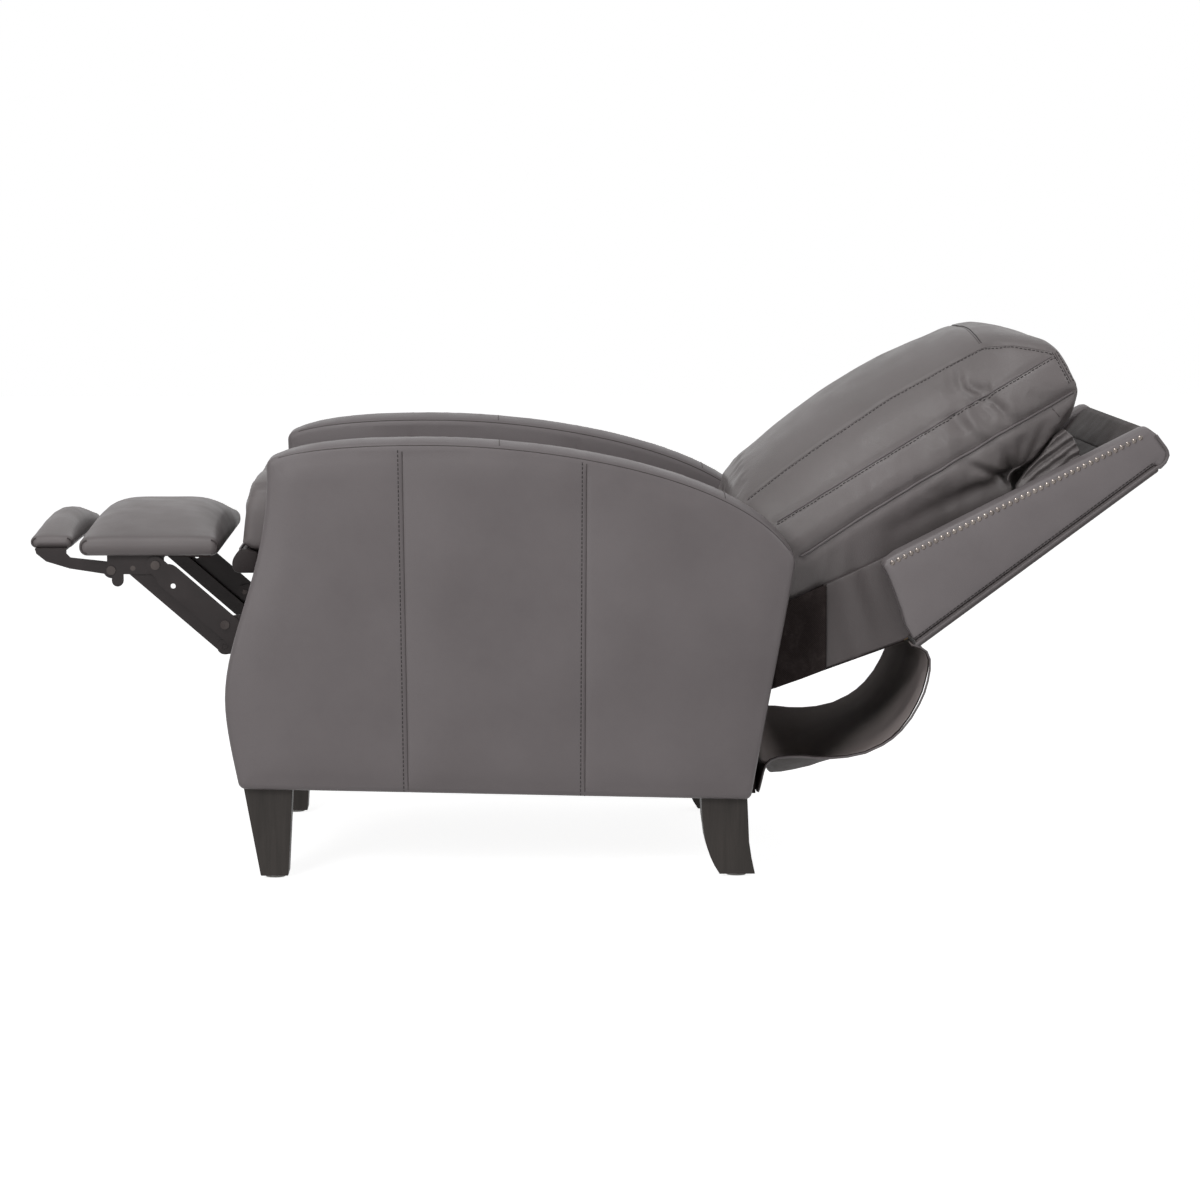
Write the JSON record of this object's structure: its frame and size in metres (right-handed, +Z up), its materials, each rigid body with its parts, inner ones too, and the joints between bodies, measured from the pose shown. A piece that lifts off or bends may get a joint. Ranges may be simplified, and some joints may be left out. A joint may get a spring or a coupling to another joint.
{
  "type": "recliner chair",
  "caption": "High leg recliner with padded leather arms, a winged reclining back with a loose pillow, a folding footrest and tapered wooden legs.",
  "frame": {"origin": "on the floor, under the middle of the chair as it stands fully reclined", "axes": "+Z up, +Y to the rear of the chair, X across it; the rest pose is fully reclined, footrest open"},
  "size_m": [0.77, 1.737, 0.8347],
  "materials": {
    "arm_leather": "smooth grey-taupe leather, low sheen",
    "back_leather": "smooth grey-taupe leather, low sheen",
    "wing_leather": "smooth leather over a foam-padded board",
    "cushion_leather": "soft wrinkled leather over foam and fibre",
    "roll_leather": "leather over a foam roll",
    "footrest_leather": "smooth leather over foam",
    "flap_suede": "raw back of split leather, matt",
    "dust_fabric": "thin black woven cloth",
    "frame_wood": "bare sawn timber and plywood",
    "leg_wood": "dark stained wood, satin",
    "glide_nylon": "pale nylon, satin",
    "strap_webbing": "woven elastic webbing",
    "mechanism_steel": "dark grey-brown enamel on pressed steel",
    "rivet_steel": "plain steel, slightly dull",
    "bolt_steel": "zinc-plated steel",
    "spring_steel": "oiled spring wire",
    "nail_nickel": "bright nickel, polished"
  },
  "bodies": {
    "base": {"left_arm_cover": "arm_leather", "right_arm_cover": "arm_leather", "left_arm_top": "arm_leather", "right_arm_top": "arm_leather", "left_arm_frame": "frame_wood", "right_arm_frame": "frame_wood", "base_side_rails": "frame_wood", "base_front_rail": "frame_wood", "base_rear_rail": "frame_wood", "left_base_plate": "mechanism_steel", "right_base_plate": "mechanism_steel", "base_rivets": "rivet_steel", "leg_bolts": "bolt_steel", "left_front_leg": "leg_wood", "right_front_leg": "leg_wood", "left_rear_leg": "leg_wood", "right_rear_leg": "leg_wood", "glides": "glide_nylon", "rear_flap": "flap_suede"},
    "back": {"left_back_post": "frame_wood", "right_back_post": "frame_wood", "back_top_rail": "frame_wood", "back_bottom_rail": "frame_wood", "back_straps": "strap_webbing", "inside_back": "back_leather", "outside_back": "back_leather", "left_wing": "wing_leather", "right_wing": "wing_leather", "back_top_cap": "back_leather", "lower_back_sides": "back_leather", "back_dust_cover": "dust_fabric", "back_brackets": "mechanism_steel", "back_rivets": "rivet_steel", "nailheads": "nail_nickel", "back_cushion": "cushion_leather"},
    "seat": {"seat_front_rail": "frame_wood", "seat_rear_rail": "frame_wood", "left_seat_rail": "frame_wood", "right_seat_rail": "frame_wood", "seat_springs": "spring_steel", "seat_cushion": "cushion_leather", "seat_front_roll": "roll_leather", "left_seat_plate": "mechanism_steel", "right_seat_plate": "mechanism_steel", "seat_rivets": "rivet_steel"},
    "front_swing": {"front_swing_links": "mechanism_steel"},
    "rear_swing": {"rear_swing_links": "mechanism_steel"},
    "recline_link": {"recline_links": "mechanism_steel"},
    "rear_links": {"rear_footrest_links": "mechanism_steel", "footrest_tube": "mechanism_steel"},
    "guide_link": {"guide_links": "mechanism_steel"},
    "front_links": {"front_footrest_links": "mechanism_steel", "link_rivets": "rivet_steel"},
    "bracket_link": {"bracket_links": "mechanism_steel"},
    "footrest": {"footrest_brackets": "mechanism_steel", "bracket_rivets": "rivet_steel", "footrest_board": "frame_wood", "footrest_pad": "footrest_leather"},
    "flip": {"flip_arms": "mechanism_steel", "flip_pad": "footrest_leather"}
  },
  "joints": [
    {"name": "recline", "type": "hinge", "parent": "base", "child": "back", "pos_m": [0, 0.243, 0.29], "axis": [1, 0, 0], "range_deg": [0, 42], "deforming": ["rear_flap"]},
    {"name": "front_swing", "type": "hinge", "parent": "base", "child": "front_swing", "pos_m": [0, -0.225, 0.235], "axis": [1, 0, 0], "range_deg": [-44.4, 0]},
    {"name": "seat_tilt", "type": "hinge", "parent": "front_swing", "child": "seat", "pos_m": [0, -0.22929, 0.29485], "axis": [1, 0, 0], "range_deg": [0, 48.4]},
    {"name": "rear_swing", "type": "hinge", "parent": "base", "child": "rear_swing", "pos_m": [0, 0.06, 0.235], "axis": [1, 0, 0], "range_deg": [-41.8, 0]},
    {"name": "recline_drive", "type": "hinge", "parent": "back", "child": "recline_link", "pos_m": [0, 0.243, 0.222], "axis": [1, 0, 0], "range_deg": [-41.3, 0]},
    {"name": "footrest_fold", "type": "hinge", "parent": "seat", "child": "rear_links", "pos_m": [0, -0.36009, 0.37312], "axis": [1, 0, 0], "range_deg": [0, 86]},
    {"name": "guide_turn", "type": "hinge", "parent": "seat", "child": "guide_link", "pos_m": [0, -0.39405, 0.40265], "axis": [1, 0, 0], "range_deg": [0, 86]},
    {"name": "front_link_turn", "type": "hinge", "parent": "rear_links", "child": "front_links", "pos_m": [0, -0.53438, 0.34863], "axis": [1, 0, 0], "range_deg": [-86, 0]},
    {"name": "pad_turn", "type": "hinge", "parent": "front_links", "child": "footrest", "pos_m": [0, -0.674, 0.47], "axis": [1, 0, 0], "range_deg": [0, 86]},
    {"name": "bracket_turn", "type": "hinge", "parent": "footrest", "child": "bracket_link", "pos_m": [0, -0.70866, 0.46513], "axis": [1, 0, 0], "range_deg": [-86, 0]},
    {"name": "flip_turn", "type": "hinge", "parent": "footrest", "child": "flip", "pos_m": [0, -0.742, 0.462], "axis": [1, 0, 0], "range_deg": [0, 86]}
  ],
  "couplings": [
    {"joint": "front_swing", "follows": "recline", "ratio": -1.0548},
    {"joint": "seat_tilt", "follows": "recline", "ratio": 1.15},
    {"joint": "rear_swing", "follows": "recline", "ratio": -0.99286},
    {"joint": "recline_drive", "follows": "recline", "ratio": -0.98},
    {"joint": "guide_turn", "follows": "footrest_fold", "ratio": 1},
    {"joint": "front_link_turn", "follows": "footrest_fold", "ratio": -1},
    {"joint": "pad_turn", "follows": "footrest_fold", "ratio": 1},
    {"joint": "bracket_turn", "follows": "footrest_fold", "ratio": -1},
    {"joint": "flip_turn", "follows": "footrest_fold", "ratio": 1}
  ]
}
